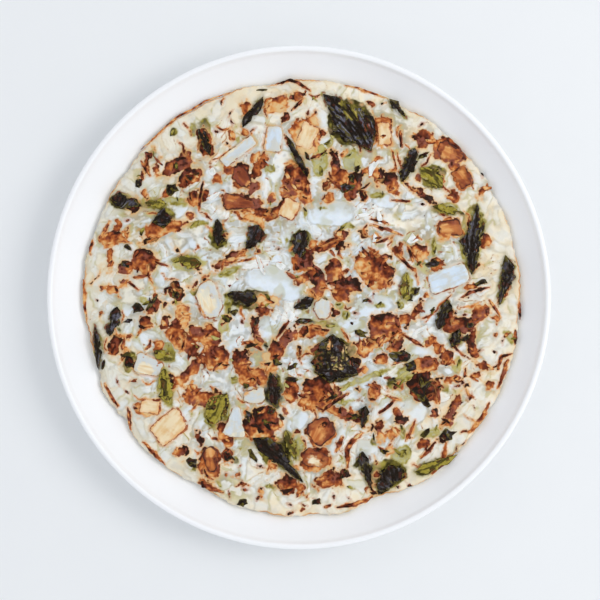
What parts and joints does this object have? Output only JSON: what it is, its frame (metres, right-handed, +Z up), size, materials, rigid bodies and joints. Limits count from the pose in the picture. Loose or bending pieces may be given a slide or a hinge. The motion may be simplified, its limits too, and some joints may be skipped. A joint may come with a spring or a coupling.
{
  "type": "savory pancake on a plate",
  "caption": "Round savory vegetable pancake with wilted leaves and chopped stems, lying on a shallow rimless coupe plate that holds it.",
  "frame": {"origin": "centre of the plate's foot ring, in the plane that it stands on", "axes": "+Z up out of the plate; +X to the right and +Y away from the viewer in the top view"},
  "size_m": [0.26, 0.26, 0.021],
  "materials": {
    "plate_glaze": "glossy white glaze",
    "batter": "cooked batter, moist, browned in places",
    "stem_white": "cooked, translucent, moist",
    "stem_tan": "fried golden, moist",
    "stem_brown": "fried brown, moist",
    "leaf_dark": "wilted, nearly black, moist",
    "leaf_olive": "wilted olive green, moist"
  },
  "bodies": {
    "root": {"plate": "plate_glaze", "pancake": "batter", "stem_white_1": "stem_white", "stem_white_2": "stem_white", "stem_white_3": "stem_white", "stem_white_4": "stem_white", "stem_white_5": "stem_white", "stem_white_6": "stem_white", "stem_white_7": "stem_white", "stem_white_8": "stem_white", "stem_tan_1": "stem_tan", "stem_tan_2": "stem_tan", "stem_tan_3": "stem_tan", "stem_tan_4": "stem_tan", "stem_tan_5": "stem_tan", "stem_brown_1": "stem_brown", "stem_brown_2": "stem_brown", "stem_brown_3": "stem_brown", "stem_brown_4": "stem_brown", "stem_brown_5": "stem_brown", "stem_brown_6": "stem_brown", "stem_brown_7": "stem_brown", "stem_brown_8": "stem_brown", "leaf_dark_1": "leaf_dark", "leaf_dark_2": "leaf_dark", "leaf_dark_3": "leaf_dark", "leaf_dark_4": "leaf_dark", "leaf_dark_5": "leaf_dark", "leaf_dark_6": "leaf_dark", "leaf_dark_7": "leaf_dark", "leaf_dark_8": "leaf_dark", "leaf_dark_9": "leaf_dark", "leaf_dark_10": "leaf_dark", "leaf_dark_11": "leaf_dark", "leaf_dark_12": "leaf_dark", "leaf_dark_13": "leaf_dark", "leaf_dark_14": "leaf_dark", "leaf_dark_15": "leaf_dark", "leaf_dark_16": "leaf_dark", "leaf_dark_17": "leaf_dark", "leaf_dark_18": "leaf_dark", "leaf_dark_19": "leaf_dark", "leaf_dark_20": "leaf_dark", "leaf_dark_21": "leaf_dark", "leaf_dark_22": "leaf_dark", "leaf_dark_23": "leaf_dark", "leaf_dark_24": "leaf_dark", "leaf_dark_25": "leaf_dark", "leaf_olive_1": "leaf_olive", "leaf_olive_2": "leaf_olive", "leaf_olive_3": "leaf_olive", "leaf_olive_4": "leaf_olive", "leaf_olive_5": "leaf_olive", "leaf_olive_6": "leaf_olive", "leaf_olive_7": "leaf_olive", "leaf_olive_8": "leaf_olive", "leaf_olive_9": "leaf_olive", "leaf_olive_10": "leaf_olive"}
  },
  "joints": []
}
